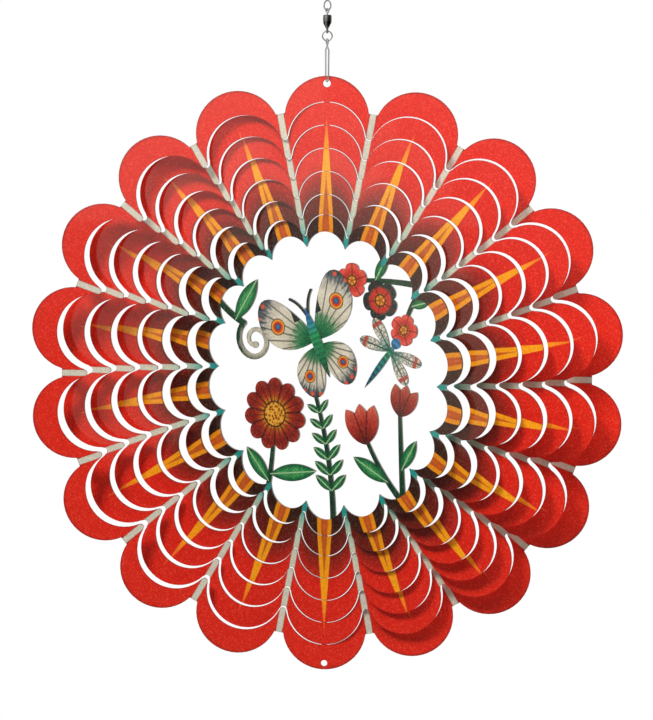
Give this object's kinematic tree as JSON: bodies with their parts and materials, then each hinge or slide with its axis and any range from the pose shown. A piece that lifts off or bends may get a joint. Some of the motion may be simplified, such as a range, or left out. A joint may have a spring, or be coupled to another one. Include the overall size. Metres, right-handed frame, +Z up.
{
  "type": "wind spinner",
  "caption": "Hanging metal wind spinner of nested scalloped rings turned about one upright axis, with cut-out figures in the centre, on a ball-bearing swivel, link ring and wire snap.",
  "frame": {"origin": "centre of the top ring, by which the spinner hangs", "axes": "+Z up along the spin axis, +X to the right seen from the front, front faces -Y"},
  "size_m": [0.3008, 0.0814, 0.3427],
  "materials": {
    "red_paint": "semi-gloss enamel with fine sparkle",
    "maroon_paint": "semi-gloss enamel",
    "dark_paint": "semi-gloss enamel",
    "green_paint": "semi-gloss enamel",
    "cream_paint": "semi-gloss enamel",
    "blue_grey_paint": "semi-gloss enamel",
    "orange_paint": "semi-gloss enamel",
    "steel": "polished wire and turned steel"
  },
  "bodies": {
    "top_ring": {"top_ring": "steel"},
    "swivel_eye": {"swivel_eye": "steel"},
    "swivel_barrel": {"swivel_barrel": "steel", "swivel_collar": "steel", "bearing_balls": "steel"},
    "link_ring": {"link_ring": "steel"},
    "snap": {"snap": "steel"},
    "ring_1": {"ring_1": "red_paint"},
    "ring_2": {"ring_2": "red_paint"},
    "ring_3": {"ring_3": "red_paint"},
    "ring_4": {"ring_4": "red_paint"},
    "ring_5": {"ring_5": "red_paint"},
    "ring_6": {"ring_6": "maroon_paint"},
    "ring_7": {"ring_7": "dark_paint", "butterfly": "cream_paint", "dragonfly": "blue_grey_paint", "daisy": "red_paint", "daisy_stem": "green_paint", "tulips": "orange_paint", "tulip_stems": "green_paint", "blossoms": "orange_paint", "blossom_twig": "green_paint", "fern_sprig": "green_paint", "tendril": "green_paint"}
  },
  "joints": [
    {"name": "eye_swing", "type": "hinge", "parent": "top_ring", "child": "swivel_eye", "pos_m": [0, 0, -0.00243], "axis": [0.6428, 0.766, 0], "range_deg": [-45, 45]},
    {"name": "swivel_spin", "type": "hinge", "parent": "swivel_eye", "child": "swivel_barrel", "pos_m": [0, 0, -0.0046], "axis": [0, 0, 1], "continuous": true},
    {"name": "link_swing", "type": "hinge", "parent": "swivel_barrel", "child": "link_ring", "pos_m": [0, 0, -0.01282], "axis": [1, 0, 0], "range_deg": [-45, 45]},
    {"name": "snap_swing", "type": "hinge", "parent": "link_ring", "child": "snap", "pos_m": [0, 0, -0.01767], "axis": [1, 0, 0], "range_deg": [-45, 45]},
    {"name": "plate_swing", "type": "hinge", "parent": "snap", "child": "ring_1", "pos_m": [0, 0, -0.038], "axis": [0, 1, 0], "range_deg": [-30, 30]},
    {"name": "ring_2_turn", "type": "hinge", "parent": "ring_1", "child": "ring_2", "pos_m": [0, 0, -0.1875], "axis": [0, 0, -1], "range_deg": [-5.5, 19]},
    {"name": "ring_3_turn", "type": "hinge", "parent": "ring_2", "child": "ring_3", "pos_m": [0, 0, -0.1875], "axis": [0, 0, -1], "range_deg": [-4, 20.5]},
    {"name": "ring_4_turn", "type": "hinge", "parent": "ring_3", "child": "ring_4", "pos_m": [0, 0, -0.1875], "axis": [0, 0, -1], "range_deg": [-3.9, 20.6]},
    {"name": "ring_5_turn", "type": "hinge", "parent": "ring_4", "child": "ring_5", "pos_m": [0, 0, -0.1875], "axis": [0, 0, -1], "range_deg": [-2.9, 21.6]},
    {"name": "ring_6_turn", "type": "hinge", "parent": "ring_5", "child": "ring_6", "pos_m": [0, 0, -0.1875], "axis": [0, 0, -1], "range_deg": [-5.1, 19.4]},
    {"name": "ring_7_turn", "type": "hinge", "parent": "ring_6", "child": "ring_7", "pos_m": [0, 0, -0.1875], "axis": [0, 0, -1], "range_deg": [-5.3, 19.2]}
  ]
}
